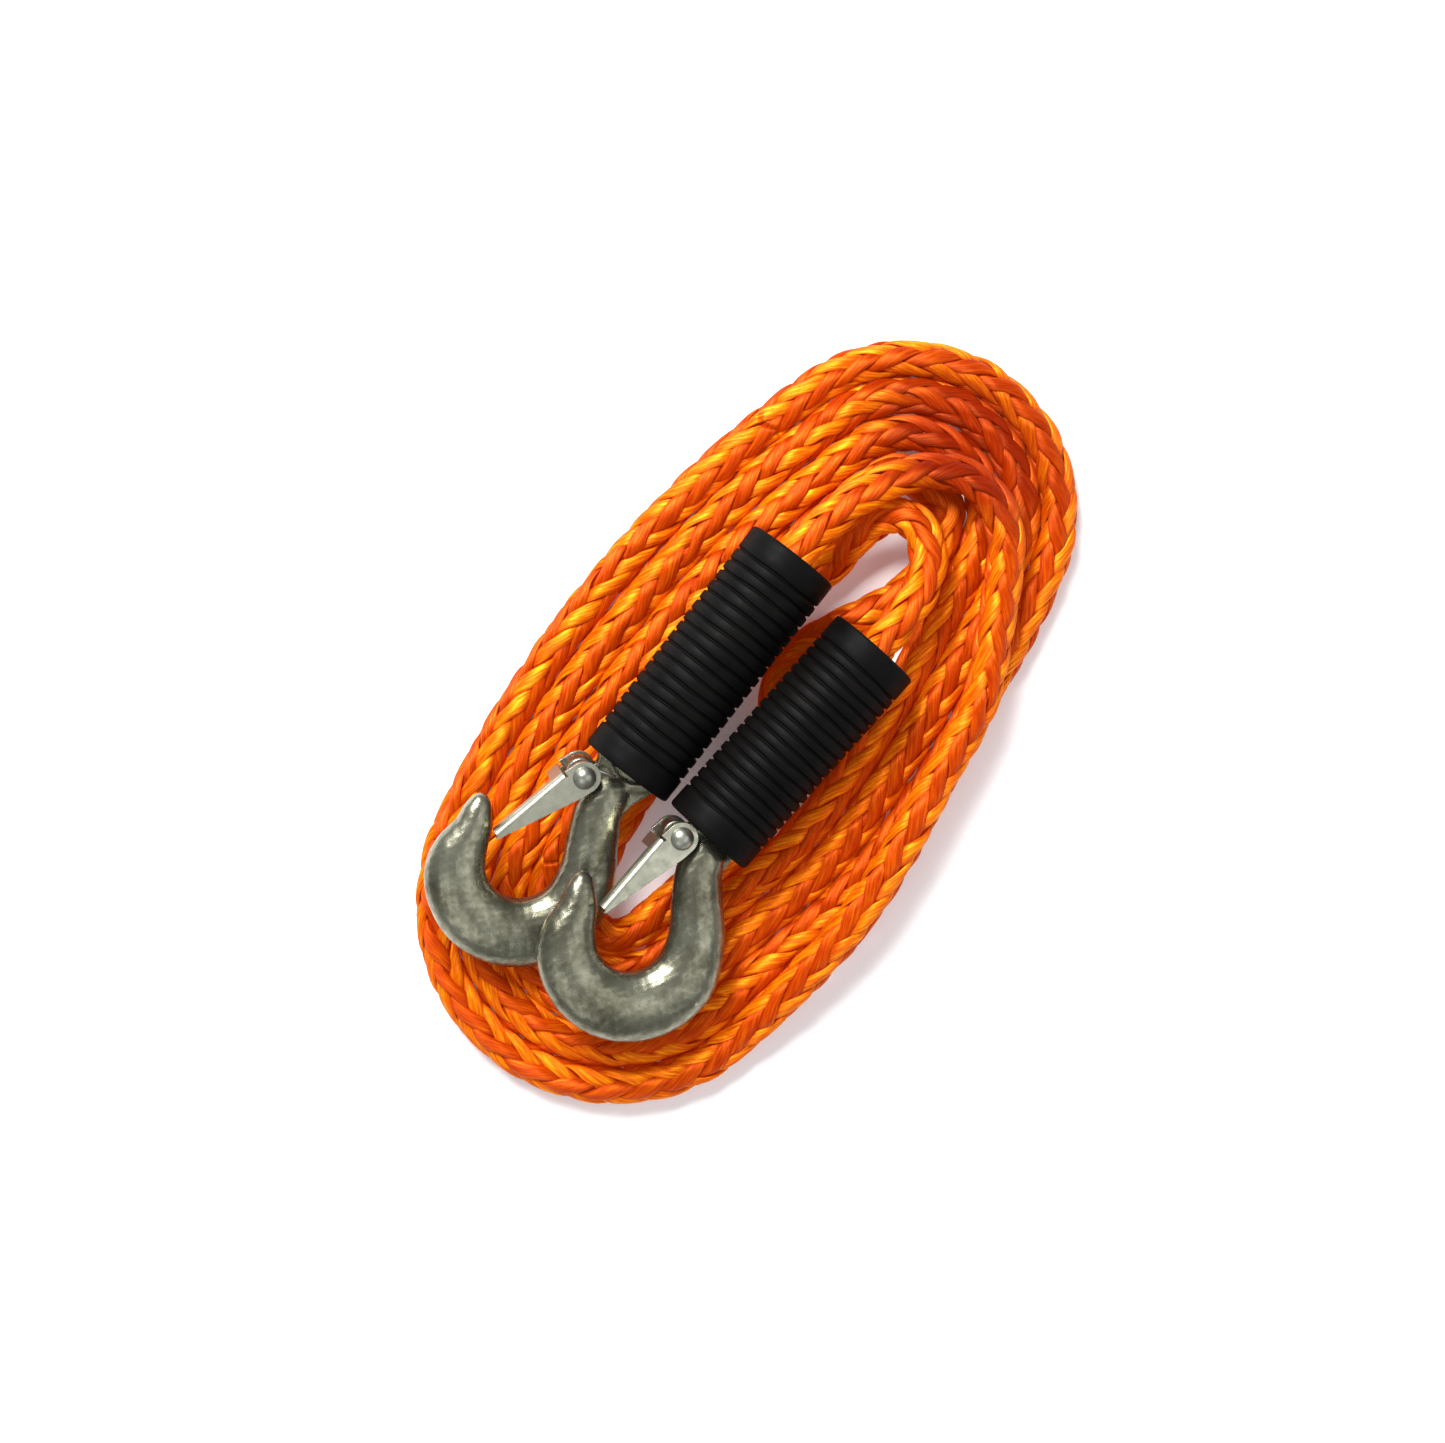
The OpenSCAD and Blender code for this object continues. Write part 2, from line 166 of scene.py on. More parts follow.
def top_turn(a):
    """The start of the rope, on top of the outermost turn and then rolling down beside it."""
    beside = stepped(a - STEP_TO) - ROPE_R
    x, y = egg(a, ROPE_R + dip(a))
    return x, y, ROPE_R + math.sqrt(max(0.0, PITCH**2 - beside**2)), ROPE_R


def set_matrix(end):
    """From the frame of a sleeve, running along +Y from its mouth, to the CAD frame."""
    at, heading = end[0], end[1]
    return Matrix.Translation(at) @ rot("Z", heading) @ rot("Y", HOOK_ROLL)


def hook_matrix(end):
    """From the frame of a hook, whose eye is the origin and whose load is along -Y, to the CAD frame."""
    return set_matrix(end) @ Matrix.Translation((0, end[2], 0)) @ rot("Z", end[3]) @ rot("X", end[4])


def eye_path(end):
    """The rope from its cut end in the ferrule, around the hook eye and out of the sleeve."""
    yc = end[2] + LOOP_GAP
    f0 = yc + FERRULE_START
    f1 = f0 + FERRULE_LEN
    local = [(0, y, -LEG_Z, CRIMP_ROPE_R) for y in (f1 + 2, f1, f1 - 11, f0, f0 - 3)]
    local.append((0, yc + 9, 0.9 - LOOP_R, EYE_ROPE_R + 0.2))
    for a in np.arange(-90, -271, -22.5):
        t = math.radians(a)
        local.append((0, yc + LOOP_R * math.cos(t), LOOP_R * math.sin(t), EYE_ROPE_R))
    local.append((0, yc + 9, LOOP_R - 0.9, EYE_ROPE_R + 0.2))
    local += [(0, y, LEG_Z, CRIMP_ROPE_R) for y in (f0 - 3, f0, f0 + 11, f1, f1 + 4)]
    local += [(0, f1 + 11, LEG_Z - 1.5, CRIMP_ROPE_R + 0.3), (0, f1 + 19, 1.6, ROPE_R),
              (0, f1 + 26, 0.2, ROPE_R)]
    place = set_matrix(end)
    out = []
    for p in local:
        q = place @ Vector(p[:3])
        out.append((q.x, q.y, q.z, p[3]))
    return out


LEAD_1 = [(-20.4, 52, SET_Z), (-19.4, 62, SET_Z - 0.3), (-15.5, 78, 26.6), (-7, 94, 22.6), (5, 104.3, 19.4),
          (18, 105.6, LAYER_Z), (30, 99, LAYER_Z), (39.5, 85, LAYER_Z), (48, 68, LAYER_Z), (56, 51, LAYER_Z)]
LEAD_2 = [(-11.1, 51, ROPE_R + 0.2), (-9.5, 58, 8), (-9.1, 64.5, 10.8), (-8, 72, 13.5), (-5.3, 79, 16),
          (0.5, 83.5, 17.8), (8, 82.8, 19.3), (14, 78, 21), (17.8, 71, 23.2), (19.4, 63, 25.8),
          (19.4, 56, 27.7)]


def rope_line(spacing, soften):
    """The rope's centre line at even spacing: points, radii and length, slightly softened."""
    lead_1 = [(*p, ROPE_R) for p in LEAD_1] + [top_turn(TOP_FROM)]
    lead_2 = [coil(COIL_END)] + [(*p, ROPE_R) for p in LEAD_2]
    way = np.vstack([
        spline(eye_path(ENDS[0]), 6)[:-1],
        spline([eye_path(ENDS[0])[-1]] + lead_1, 10),
        [top_turn(a) for a in np.arange(TOP_FROM, STEP_TO, -0.5)][1:],
        [coil(w) for w in np.arange(0, COIL_END, 0.5)],
        spline(lead_2 + [eye_path(ENDS[1])[-1]], 10),
        spline(eye_path(ENDS[1]), 6)[::-1][1:],
    ])
    step = np.linalg.norm(np.diff(way[:, :3], axis=0), axis=1)
    at = np.concatenate([[0], np.cumsum(step)])
    s = np.arange(0, at[-1], spacing)
    line = np.stack([np.interp(s, at, way[:, k]) for k in range(4)], axis=1)
    reach = int(3 * soften / spacing)
    weight = np.exp(-0.5 * (np.arange(-reach, reach + 1) * spacing / soften) ** 2)
    weight /= weight.sum()
    for k in range(4):
        padded = np.pad(line[:, k], reach, mode="reflect", reflect_type="odd")
        line[:, k] = np.convolve(padded, weight, mode="valid")
    return s, line


def frames_along(points):
    """Tangents and two normals that don't twist, at each point of a line."""
    tangent = np.gradient(points, axis=0)
    tangent /= np.linalg.norm(tangent, axis=1)[:, None]
    normal = np.zeros_like(points)
    v = np.cross(tangent[0], (0.3, 0.2, 1.0))
    for i, t in enumerate(tangent):
        v = v - t * (v @ t)
        v = v / np.linalg.norm(v)
        normal[i] = v
    return tangent, normal, np.cross(tangent, normal)


# ---------------------------------------------------------------- mesh helpers
def new_object(name, verts, faces, flat=False):
    """A mesh object from millimetre vertices already in the CAD frame."""
    mesh = bpy.data.meshes.new(name)
    mesh.from_pydata((np.asarray(verts, float) * MM).tolist(), [], faces)
    mesh.update()
    if not flat:
        mesh.shade_smooth()
    ob = bpy.data.objects.new(name, mesh)
    bpy.context.scene.collection.objects.link(ob)
    return ob


def grid_faces(rows, cols, closed_rows=False, start=0):
    """Quads over rows of points, each row closed on itself."""
    faces = []
    for i in range(rows if closed_rows else rows - 1):
        a, b = start + i * cols, start + ((i + 1) % rows) * cols
        for j in range(cols):
            k = (j + 1) % cols
            faces.append((a + j, a + k, b + k, b + j))
    return faces


def capped_grid(rows, cols, start=0):
    first = tuple(start + j for j in range(cols))[::-1]
    last = tuple(start + (rows - 1) * cols + j for j in range(cols))
    return grid_faces(rows, cols, start=start) + [first, last]


def point_attribute(ob, name, kind, values):
    data = ob.data.attributes.new(name, kind, "POINT")
    field = "vector" if kind == "FLOAT_VECTOR" else "value"
    data.data.foreach_set(field, np.asarray(values, np.float32).ravel())


def outward(ob):
    bm = bmesh.new()
    bm.from_mesh(ob.data)
    bmesh.ops.recalc_face_normals(bm, faces=bm.faces)
    bm.to_mesh(ob.data)
    bm.free()


def modify(ob, kind, **settings):
    mod = ob.modifiers.new(kind.lower(), kind)
    for key, value in settings.items():
        setattr(mod, key, value)
    return mod


def apply_modifiers(ob):
    """Bakes the object's modifiers into its mesh."""
    graph = bpy.context.evaluated_depsgraph_get()
    mesh = bpy.data.meshes.new_from_object(ob.evaluated_get(graph))
    old = ob.data
    ob.modifiers.clear()
    ob.data = mesh
    bpy.data.meshes.remove(old)
    mesh.shade_smooth()


def lathe(profile, sides, matrix, name, closed):
    """Turns (radius, along) points about the local Y axis; closed means the profile is a loop."""
    verts = []
    for j in range(sides):
        t = 2 * math.pi * j / sides
        for r, y in profile:
            verts.append(matrix @ Vector((r * math.cos(t), y, r * math.sin(t))))
    n = len(profile)
    faces = []
    for j in range(sides):
        a, b = j * n, ((j + 1) % sides) * n
        for i in range(n if closed else n - 1):
            k = (i + 1) % n
            faces.append((a + i, a + k, b + k, b + i))
    ob = new_object(name, [tuple(v) for v in verts], faces)
    bm = bmesh.new()
    bm.from_mesh(ob.data)
    bmesh.ops.remove_doubles(bm, verts=bm.verts, dist=1e-7)
    bmesh.ops.recalc_face_normals(bm, faces=bm.faces)
    bm.to_mesh(ob.data)
    bm.free()
    return ob


# ---------------------------------------------------------------- material helpers
class Nodes:
    """A material's node tree with short names for the nodes used here."""

    def __init__(self, name):
        self.material = bpy.data.materials.new(name)
        self.material.use_nodes = True
        self.tree = self.material.node_tree
        self.surface = self.tree.nodes["Principled BSDF"]

    def node(self, kind, inputs=None, **settings):
        made = self.tree.nodes.new("ShaderNode" + kind)
        for key, value in settings.items():
            setattr(made, key, value)
        for key, value in (inputs or {}).items():
            self.put(made.inputs[key], value)
        return made

    def put(self, socket, value):
        if isinstance(value, bpy.types.NodeSocket):
            self.tree.links.new(value, socket)
        elif isinstance(value, tuple) and len(value) == 3 and socket.type == "RGBA":
            socket.default_value = (*value, 1.0)
        else:
            socket.default_value = value

    def noise(self, vector, scale, detail=4.0, rough=0.55, stretch=None):
        if stretch:
            vector = self.node("Mapping", {"Vector": vector, "Scale": stretch}).outputs[0]
        return self.node("TexNoise", {"Vector": vector, "Scale": scale, "Detail": detail,
                                      "Roughness": rough}).outputs["Fac"]

    def ramp(self, fac, stops):
        made = self.node("ValToRGB", {"Fac": fac})
        elements = made.color_ramp.elements
        while len(elements) < len(stops):
            elements.new(0.5)
        for element, (at, colour) in zip(elements, stops):
            element.position = at
            element.color = (*colour, 1.0) if isinstance(colour, tuple) else (colour, colour, colour, 1.0)
        return made.outputs["Color"]

    def maths(self, kind, a, b=0.0, c=0.0):
        return self.node("Math", {0: a, 1: b, 2: c}, operation=kind).outputs[0]

    def mix(self, fac, a, b, blend="MIX"):
        made = self.node("Mix", data_type="RGBA", blend_type=blend)
        self.put(made.inputs["Factor"], fac)
        self.put(made.inputs["A"], a)
        self.put(made.inputs["B"], b)
        return made.outputs["Result"]

    def bump(self, height, strength, distance, under=None):
        inputs = {"Height": height, "Strength": strength, "Distance": distance}
        if under is not None:
            inputs["Normal"] = under
        return self.node("Bump", inputs).outputs[0]

    def set(self, **inputs):
        for key, value in inputs.items():
            self.put(self.surface.inputs[key.replace("_", " ")], value)


# ---------------------------------------------------------------- braided rope
CARRIERS = 6  # strands in each direction
BRAID_PITCH = 78.0
STRAND_HALF_W = 2.85
STRAND_HALF_T = 1.05
BRAID_MID_R = 4.6
BRAID_SWING = 0.8
BRAID_FLATTEN = 0.91  # the soft braid is a little wider than it is high
BRAID_STEP = 1.5
LINE_STEP, LINE_SOFTEN = 0.5, 2.0
ROPE_END_GAP = 3.0
# Size, number of waves, shortest and longest wave in mm, of how a strand's width, place, height and tilt
# and the turn of the whole braid wander.
WIDTH_WOBBLE = (0.17, 5, 9, 40)
SHIFT_WOBBLE = (0.5, 5, 14, 60)
PUFF_WOBBLE = (0.25, 5, 11, 45)
TWIST_WOBBLE = (0.55, 4, 18, 70)
ROLL_WOBBLE = (0.9, 5, 160, 520)
SQUARENESS = 2.1
BRAID_PIECES = 4
STRAND_U = np.array([-1.0, -0.86, -0.6, -0.3, 0.0, 0.3, 0.6, 0.86, 1.0, 0.55, -0.55])
STRAND_TOP = np.array([0.0, 0.45, 0.78, 0.96, 1.0, 0.96, 0.78, 0.45, 0.0, -0.6, -0.6])


def wobble(rng, s, size, waves, low, high):
    """Smooth random wandering along s, between about -size and size."""
    total = np.zeros_like(s)
    for _ in range(waves):
        length = rng.uniform(low, high)
        total += np.sin(2 * np.pi * (s / length + rng.uniform()))
    return size * (total / waves**0.5 / 1.4)


def rounded_square(x):
    return np.tanh(SQUARENESS * x) / math.tanh(SQUARENESS)


def braid_strand(way, k, s, rope, rng):
    """Carrier k's strand: surface points, (across, along, number), how high it rides, and its direction."""
    s_line, line, normal, side, roll = rope
    lean = math.atan(2 * np.pi * ROPE_R / BRAID_PITCH)
    half_w = STRAND_HALF_W * (1 + wobble(rng, s, *WIDTH_WOBBLE))
    shift = wobble(rng, s, *SHIFT_WOBBLE)
    puff = wobble(rng, s, *PUFF_WOBBLE)
    twist = wobble(rng, s, *TWIST_WOBBLE)
    u = STRAND_U[None, :] * half_w[:, None] + shift[:, None]
    s_at = s[:, None] - way * u * math.sin(lean)
    turn = way * s / BRAID_PITCH + k / CARRIERS
    angle = 2 * np.pi * turn[:, None] + u * math.cos(lean) / ROPE_R
    lattice = angle * CARRIERS / (2 * np.pi) + way * s_at * CARRIERS / BRAID_PITCH
    lift = way * rounded_square(np.cos(2 * np.pi * (k + lattice - 0.5) / 4))
    tilt = twist[:, None] * STRAND_U[None, :] * STRAND_HALF_T
    r = BRAID_MID_R + BRAID_SWING * lift + STRAND_HALF_T * STRAND_TOP[None, :] + tilt
    r = (r + puff[:, None] * (0.5 + 0.5 * lift)) * (np.interp(s_at, s_line, line[:, 3]) / ROPE_R)
    phi = angle + np.interp(s_at, s_line, roll)
    where, n, b = ([np.interp(s_at, s_line, rows[:, i]) for i in range(3)]
                   for rows in (line, normal, side))
    xyz = np.stack([where[i] + r * (np.cos(phi) * n[i] + np.sin(phi) * b[i]) for i in range(3)], axis=-1)
    xyz[..., 2] = where[2] + BRAID_FLATTEN * (xyz[..., 2] - where[2])
    info = np.stack([np.broadcast_to(STRAND_U[None, :], r.shape), np.broadcast_to(s[:, None] / 10, r.shape),
                     np.full(r.shape, way * (k + 1.0))], axis=-1)
    return xyz, info, lift, np.gradient(xyz, axis=0)


def braid_piece(number, strands, a, b):
    """Rows a to b of every strand, as one object."""
    verts, infos, lifts, ways, faces = [], [], [], [], []
    for xyz, info, lift, along in strands:
        faces += capped_grid(b - a, len(STRAND_U), start=sum(len(v) for v in verts))
        verts.append(xyz[a:b].reshape(-1, 3))
        infos.append(info[a:b].reshape(-1, 3))
        lifts.append(lift[a:b].ravel())
        ways.append(along[a:b].reshape(-1, 3))
    ob = new_object(f"rope_braid_{number}", np.vstack(verts), faces)
    outward(ob)
    ways = np.vstack(ways)
    point_attribute(ob, "strand", "FLOAT_VECTOR", np.vstack(infos))
    point_attribute(ob, "lift", "FLOAT", np.concatenate(lifts))
    point_attribute(ob, "along", "FLOAT_VECTOR", ways / np.linalg.norm(ways, axis=1)[:, None])
    return ob


def braid():
    """The hollow braid: six strands each way, each over two and under two."""
    rng = np.random.default_rng(SEED)
    s_line, line = rope_line(LINE_STEP, LINE_SOFTEN)
    _, normal, side = frames_along(line[:, :3])
    s = np.arange(ROPE_END_GAP, s_line[-1] - ROPE_END_GAP, BRAID_STEP)
    rope = (s_line, line, normal, side, wobble(rng, s_line, *ROLL_WOBBLE))
    strands = [braid_strand(way, k, s, rope, rng) for way in (1, -1) for k in range(CARRIERS)]
    cuts = np.linspace(0, len(s) - 1, BRAID_PIECES + 1).astype(int)
    return [braid_piece(i + 1, strands, a, b + 1) for i, (a, b) in enumerate(zip(cuts, cuts[1:]))]


def rope_core():
    """The plain filling seen between the strands."""
    core_r, core_sides, core_step, core_soften = 3.55, 12, 2.5, 3.0
    _, line = rope_line(core_step, core_soften)
    line = line[1:-1]
    _, normal, side = frames_along(line[:, :3])
    angle = 2 * np.pi * np.arange(core_sides) / core_sides
    r = (line[:, 3] / ROPE_R * core_r)[:, None, None]
    ring = np.cos(angle)[None, :, None] * normal[:, None, :] + np.sin(angle)[None, :, None] * side[:, None, :]
    verts = (line[:, None, :3] + r * ring).reshape(-1, 3)
    ob = new_object("rope_core", verts, capped_grid(len(line), core_sides))
    outward(ob)
    return ob


# Painted looks that stand in for light, not properties of the rope. The far bend is darker and redder over
# an oval with this middle and half size: not at all beyond the first share of it, fully inside the second.
# The strands of one winding direction are redder, and a faint glow lifts the folds.
SHADE_OVAL_AT = (4, 114, 0)
SHADE_OVAL_HALF_W, SHADE_OVAL_HALF_L = 38, 25
SHADE_OVAL_FADE = (1.25, 0.55)
SHADE_OVAL_TINT = (0.42, 0.11, 0.15)
CROSSING_SHADE_TINT = (0.66, 0.3, 0.1)
GLOW, GLOW_STRENGTH = (0.75, 0.05, 0.0), 0.11


def rope_material():
    n = Nodes("rope_film")
    strand = n.node("Attribute", attribute_name="strand").outputs["Vector"]
    lift = n.node("Attribute", attribute_name="lift").outputs["Fac"]
    split = n.node("SeparateXYZ", {0: strand})
    fibre = n.node("CombineXYZ", {0: n.maths("MULTIPLY", split.outputs[0], 3.2),
                                  1: n.maths("MULTIPLY", split.outputs[1], 0.9),
                                  2: n.maths("MULTIPLY", split.outputs[2], 7.7)}).outputs[0]
    streak = n.noise(fibre, 1.6, detail=5, rough=0.6)
    patch = n.noise(strand, 0.55, detail=2)
    colour = n.ramp(streak, [(0.25, (0.45, 0.04, 0.0)), (0.46, (0.66, 0.12, 0.001)),
                             (0.58, (0.85, 0.25, 0.002)), (0.74, (1.0, 0.42, 0.005))])
    warm = n.ramp(patch, [(0.3, (0.88, 0.66, 0.5)), (0.65, (1.0, 1.0, 1.0))])
    colour = n.mix(1.0, colour, warm, "MULTIPLY")
    # Painted shade: a strand turns a deeper, darker red where it runs under its neighbours.
    valley_shade = n.ramp(n.maths("MULTIPLY_ADD", lift, 0.5, 0.5),
                    [(0.0, (0.55, 0.07, 0.01)), (0.75, (1.0, 1.0, 1.0))])
    colour = n.mix(0.9, colour, valley_shade, "MULTIPLY")
    # Painted shade: the strands of the crossing winding direction are tinted darker and redder.
    crossing_shaded = n.maths("LESS_THAN", split.outputs[2], 0.0)
    colour = n.mix(crossing_shaded, colour, n.mix(1.0, colour, CROSSING_SHADE_TINT, "MULTIPLY"))
    fine = n.noise(fibre, 5.0, detail=3)
    normal = n.bump(fine, 0.25, 0.00025)
    normal = n.bump(streak, 0.5, 0.0006, normal)
    # Painted shade over the far bend: inside the oval the rope's colour turns darker and redder.
    from_shade_middle = n.node("VectorMath", {0: n.node("TexCoord").outputs["Object"],
                                        1: tuple(c * MM for c in SHADE_OVAL_AT)}, operation="SUBTRACT").outputs[0]
    reach = n.node("VectorMath", {0: from_shade_middle, 1: (1 / SHADE_OVAL_HALF_W / MM, 1 / SHADE_OVAL_HALF_L / MM, 0)},
                   operation="MULTIPLY").outputs[0]
    reach = n.node("VectorMath", {0: reach}, operation="LENGTH").outputs["Value"]
    far_bend_shade = n.node("MapRange", {"Value": reach, "From Min": SHADE_OVAL_FADE[0], "From Max": SHADE_OVAL_FADE[1]}).outputs[0]
    colour = n.mix(far_bend_shade, colour, n.mix(1.0, colour, SHADE_OVAL_TINT, "MULTIPLY"))
    along = n.node("Attribute", attribute_name="along").outputs["Vector"]
    facing = n.node("NewGeometry").outputs["Normal"]
    around = n.node("VectorMath", {0: along, 1: facing}, operation="CROSS_PRODUCT").outputs[0]
    # The emission is a painted glow in the rope's own colour, lifting the folds as if light passed through
    # the film.
    n.set(Base_Color=colour, Normal=normal, Metallic=0.35, Anisotropic=0.9, Tangent=around,
          Roughness=n.ramp(streak, [(0.3, 0.5), (0.7, 0.38)]),
          Specular_Tint=(1.0, 0.7, 0.2), Emission_Color=GLOW, Emission_Strength=GLOW_STRENGTH)
    return n.material


def core_material():
    # The filling is painted a deeper red than the strands, as the shade seen between them, and has the same
    # painted glow.
    n = Nodes("rope_core_fibre")
    where = n.node("TexCoord").outputs["Object"]
    grain = n.noise(where, 900, detail=3)
    n.set(Base_Color=n.ramp(grain, [(0.3, (0.5, 0.03, 0.0)), (0.7, (0.75, 0.08, 0.001))]),
          Roughness=0.6, Emission_Color=GLOW, Emission_Strength=GLOW_STRENGTH,
          Normal=n.bump(grain, 0.4, 0.0004))
    return n.material


def make_rope():
    film, fill = rope_material(), core_material()
    for ob in braid():
        ob.data.materials.append(film)
        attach(ob, "rope")
        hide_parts("rope")
    core = rope_core()
    core.data.materials.append(fill)
    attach(core, "rope")
    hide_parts("rope")


# ---------------------------------------------------------------- sleeves
SLEEVE_COLLAR = 9
RIB_COUNT = 17
RIB_DEPTH = 1
RIB_MARGIN = 1.2  # of the ribbed length, beyond its outer grooves
RIB_WAVES = ((0.16, 2), (0.1, 5))  # size in mm, and waves around the sleeve
WALL_FROM = SLEEVE_BORE_R + 0.9
SLEEVE_SIDES = 128
# Section of a groove: distance along from its middle, and share of the full depth.
GROOVE = ((-0.85, 0), (-0.6, 0.12), (-0.38, 0.55), (-0.2, 0.92), (0, 1), (0.2, 0.92), (0.38, 0.55),
          (0.6, 0.12), (0.85, 0))


def sleeve_profile(length):
    """Loop of (radius, along) around the wall of a sleeve."""
    pitch = (length - 2 * SLEEVE_COLLAR) / RIB_COUNT
    r, inner = SLEEVE_R, SLEEVE_BORE_R
    out = [(inner, 0.8), (inner + 0.3, 0.15), (inner + 0.8, 0), (r - 0.9, 0), (r - 0.3, 0.25), (r, 0.9),
           (r, 3), (r, 6)]
    for i in range(RIB_COUNT + 1):
        y = SLEEVE_COLLAR + i * pitch
        out += [(r - RIB_DEPTH * deep, y + dy) for dy, deep in GROOVE]
    out += [(r, length - 6), (r, length - 3), (r, length - 0.9), (r - 0.3, length - 0.25), (r - 0.9, length),
            (inner + 0.8, length), (inner + 0.3, length - 0.15), (inner, length - 0.8)]
    return out


def sleeve(index):
    end = ENDS[index - 1]
    rng = np.random.default_rng(SEED + index)
    length = end[5]
    ob = lathe(sleeve_profile(length), SLEEVE_SIDES, Matrix.Identity(4), f"sleeve_{index}_rubber", True)
    phase = rng.uniform(0, 2 * math.pi, (RIB_COUNT + 1, 2))
    pitch = (length - 2 * SLEEVE_COLLAR) / RIB_COUNT
    place = set_matrix(end)
    for v in ob.data.vertices:
        x, y, z = (c / MM for c in v.co)
        r = math.hypot(x, z)
        if r > WALL_FROM and SLEEVE_COLLAR - RIB_MARGIN < y < length - SLEEVE_COLLAR + RIB_MARGIN:
            rib = int(clamp(round((y - SLEEVE_COLLAR) / pitch), 0, RIB_COUNT))
            t = math.atan2(z, x)
            y += sum(size * math.sin(waves * t + p) for (size, waves), p in zip(RIB_WAVES, phase[rib]))
        v.co = place @ Vector((x, y, z)) * MM
    ob.data.update()
    outward(ob)
    ob.data.shade_smooth()
    return ob


def rubber_material():
    n = Nodes("sleeve_rubber")
    where = n.node("TexCoord").outputs["Object"]
    speck = n.noise(where, 2600, detail=3)
    cloud = n.noise(where, 90, detail=4)
    scuff = n.noise(where, 300, detail=5, rough=0.7)
    n.set(Base_Color=n.ramp(cloud, [(0.3, (0.002, 0.0018, 0.0017)), (0.7, (0.0045, 0.004, 0.0037))]),
          Roughness=n.ramp(scuff, [(0.3, 0.45), (0.7, 0.6)]),
          Specular_IOR_Level=0.05,
          Normal=n.bump(speck, 0.12, 0.0003, n.bump(scuff, 0.12, 0.0004)))
    return n.material


def make_sleeves():
    rubber = rubber_material()
    for i in (1, 2):
        ob = sleeve(i)
        ob.data.materials.append(rubber)
        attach(ob, f"sleeve_{i}")
        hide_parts(f"sleeve_{i}")


# ---------------------------------------------------------------- hooks
EYE_R, EYE_HOLE_R, EYE_THICK = 13, 7.3, 6
SEAT_R, SEAT_W = 12, 4
BOWL = (-8.9, -51)
RIVET_AT = (-12, -15)
LUG_R, LUG_LOW, LUG_HIGH = 5, -6, 1.3
HOOK_VOXEL = 0.5


def bowl_station(a, outer, thick):
    skin = SEAT_R - 0.45
    t = math.radians(a)
    middle = (skin + outer) / 2
    return BOWL[0] + middle * math.cos(t), BOWL[1] + middle * math.sin(t), (outer - skin) / 2, thick


# Middle, half width in the plane of the hook and half thickness of the bar, from the eye to the tip.
HOOK_STATIONS = [
    (-0.5, -10, 6.4, 3.4), (-0.3, -15.5, 7.2, 5.6), (1.2, -23.4, 7.9, 6.4), (6.1, -32.8, 8.7, 6.9),
    (11, -41.8, 9.6, 7.3), bowl_station(-6, 33.8, 7.6), bowl_station(-28, 34.8, 7.7),
    bowl_station(-50, 35.1, 7.7), bowl_station(-72, 34.9, 7.7), bowl_station(-94, 34.2, 7.6),
    bowl_station(-116, 33, 7.4), bowl_station(-137, 31.9, 7.1), bowl_station(-156, 29.8, 6.4),
    (BOWL[0] - 20.6, BOWL[1] + 0.5, 6.4, 5.4), (BOWL[0] - 22.6, BOWL[1] + 6, 4.9, 4.4),
    (BOWL[0] - 23.8, BOWL[1] + 10, 3.2, 3), (BOWL[0] - 24.2, BOWL[1] + 11.8, 1.3, 1.2),
]
FLARE = ((11.6, -5.4), (9.6, -10), (8, -14), (7.6, -19))
FLARE_HALF_T = 2.5


def hook_shank():
    """Vertices and faces of the forged bar, swept through the stations in the hook's frame."""
    sides = 44
    path = spline(HOOK_STATIONS, 10)
    angle = 2 * np.pi * np.arange(sides) / sides
    verts = []
    for i, (x, y, half_w, half_t) in enumerate(path):
        ahead, behind = path[min(len(path) - 1, i + 1)], path[max(0, i - 1)]
        t = np.array([ahead[0] - behind[0], ahead[1] - behind[1]])
        t /= np.linalg.norm(t)
        for q in angle:
            c, d = half_w * math.cos(q), half_t * math.sin(q)
            verts.append((x - t[1] * c, y + t[0] * c, d))
    return verts, capped_grid(len(path), sides)


def eye_ring():
    bar = (EYE_R - EYE_HOLE_R) / 2
    mid = EYE_HOLE_R + bar
    corner = bar * 0.6
    half = EYE_THICK / 2
    loop = [(-bar, -half + corner), (-bar + corner, -half), (bar - corner, -half), (bar, -half + corner),
            (bar, half - corner), (bar - corner, half), (-bar + corner, half), (-bar, half - corner)]
    sides = 64
    verts = []
    for j in range(sides):
        t = 2 * math.pi * j / sides
        verts += [((mid + u) * math.cos(t), (mid + u) * math.sin(t), z) for u, z in loop]
    return verts, grid_faces(sides, len(loop), closed_rows=True)


def prism(outline, low, high):
    n = len(outline)
    verts = [(x, y, z) for z in (low, high) for x, y in outline]
    faces = [tuple(range(n))[::-1], tuple(range(n, 2 * n))]
    faces += [(j, (j + 1) % n, n + (j + 1) % n, n + j) for j in range(n)]
    return verts, faces


def lug():
    """The pad that carries the latch rivet."""
    sides = 32
    neck = [(0, -11), (0, -21)]
    disc = [(RIVET_AT[0] + LUG_R * math.cos(t), RIVET_AT[1] + LUG_R * math.sin(t))
            for t in (math.radians(90 + 180 * j / sides) for j in range(sides + 1))]
    return prism(disc + neck[::-1], LUG_LOW, LUG_HIGH)


def flare():
    """The plate that widens the neck into the eye."""
    return prism([*FLARE, *((-x, y) for x, y in FLARE[::-1])], -FLARE_HALF_T, FLARE_HALF_T)


def joined(parts, name):
    verts, faces = [], []
    for part_verts, part_faces in parts:
        base = len(verts)
        verts += list(part_verts)
        faces += [tuple(base + i for i in f) for f in part_faces]
    ob = new_object(name, verts, faces)
    outward(ob)
    return ob


